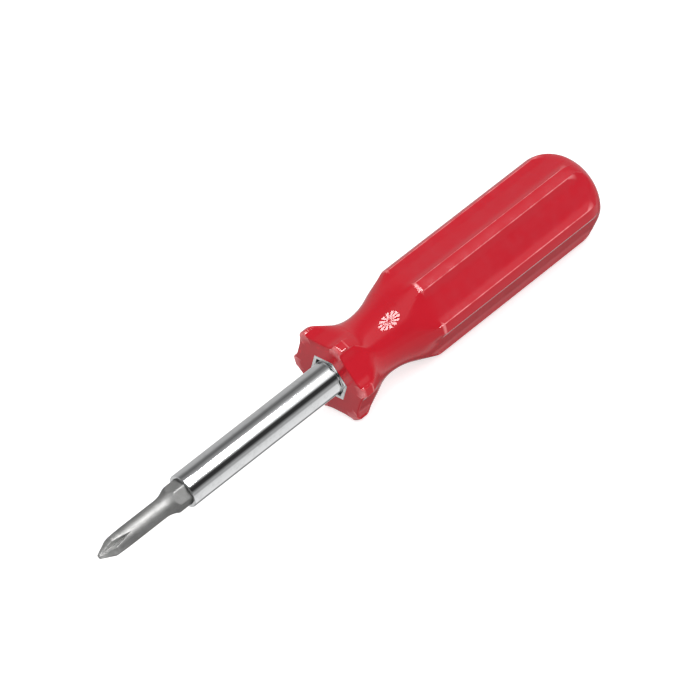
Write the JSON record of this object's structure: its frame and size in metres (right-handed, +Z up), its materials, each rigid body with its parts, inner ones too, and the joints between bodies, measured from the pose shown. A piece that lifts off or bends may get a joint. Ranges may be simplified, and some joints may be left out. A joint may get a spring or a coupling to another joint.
{
  "type": "screwdriver",
  "caption": "Screwdriver with a fluted plastic handle, a reversible chromed barrel and double-ended bits, all held by ball detents.",
  "frame": {"origin": "on the tool's axis, in the plane of the collar's front face", "axes": "+X along the axis towards the working tip; +Z up, with the tool lying on two lobes of its collar and grip; +Y towards one lobe"},
  "size_m": [0.2023, 0.0318, 0.0292],
  "materials": {
    "acetate": "polished transparent-red cellulose acetate, dense enough to look solid",
    "zinc_steel": "bright zinc-plated steel sleeve",
    "chrome": "polished chrome plate",
    "bit_steel": "satin, bead-blasted tool steel",
    "ball_steel": "polished bearing steel",
    "spring_steel": "drawn spring wire"
  },
  "bodies": {
    "handle": {"handle": "acetate", "handle_insert": "zinc_steel"},
    "barrel": {"barrel": "chrome", "barrel_spring": "spring_steel"},
    "barrel_ball": {"barrel_ball": "ball_steel"},
    "bit_large": {"bit_large": "bit_steel", "bit_large_spring": "spring_steel"},
    "bit_large_ball": {"bit_large_ball": "ball_steel"},
    "bit_small": {"bit_small": "bit_steel", "bit_small_spring": "spring_steel"},
    "bit_small_ball": {"bit_small_ball": "ball_steel"}
  },
  "joints": [
    {"name": "barrel_slide", "type": "slide", "parent": "handle", "child": "barrel", "axis": [1, 0, 0], "range_m": [0, 0.15]},
    {"name": "bit_large_slide", "type": "slide", "parent": "barrel", "child": "bit_large", "axis": [1, 0, 0], "range_m": [0, 0.045]},
    {"name": "bit_small_slide", "type": "slide", "parent": "barrel", "child": "bit_small", "axis": [-1, 0, 0], "range_m": [0, 0.042]},
    {"name": "barrel_ball_press", "type": "slide", "parent": "barrel", "child": "barrel_ball", "axis": [0, 0, -1], "range_m": [0, 0.0004], "stiffness_N_per_m": 1000, "springref_m": -0.0015, "deforming": ["barrel_spring"]},
    {"name": "bit_large_ball_press", "type": "slide", "parent": "bit_large", "child": "bit_large_ball", "axis": [0, 0, -1], "range_m": [0, 0.0003], "stiffness_N_per_m": 800, "springref_m": -0.0012, "deforming": ["bit_large_spring"]},
    {"name": "bit_small_ball_press", "type": "slide", "parent": "bit_small", "child": "bit_small_ball", "axis": [0, 0, -1], "range_m": [0, 0.0002], "stiffness_N_per_m": 800, "springref_m": -0.001, "deforming": ["bit_small_spring"]}
  ],
  "couplings": [
    {"joint": "bit_small_slide", "follows": "barrel_slide", "ratio": 0.28}
  ]
}
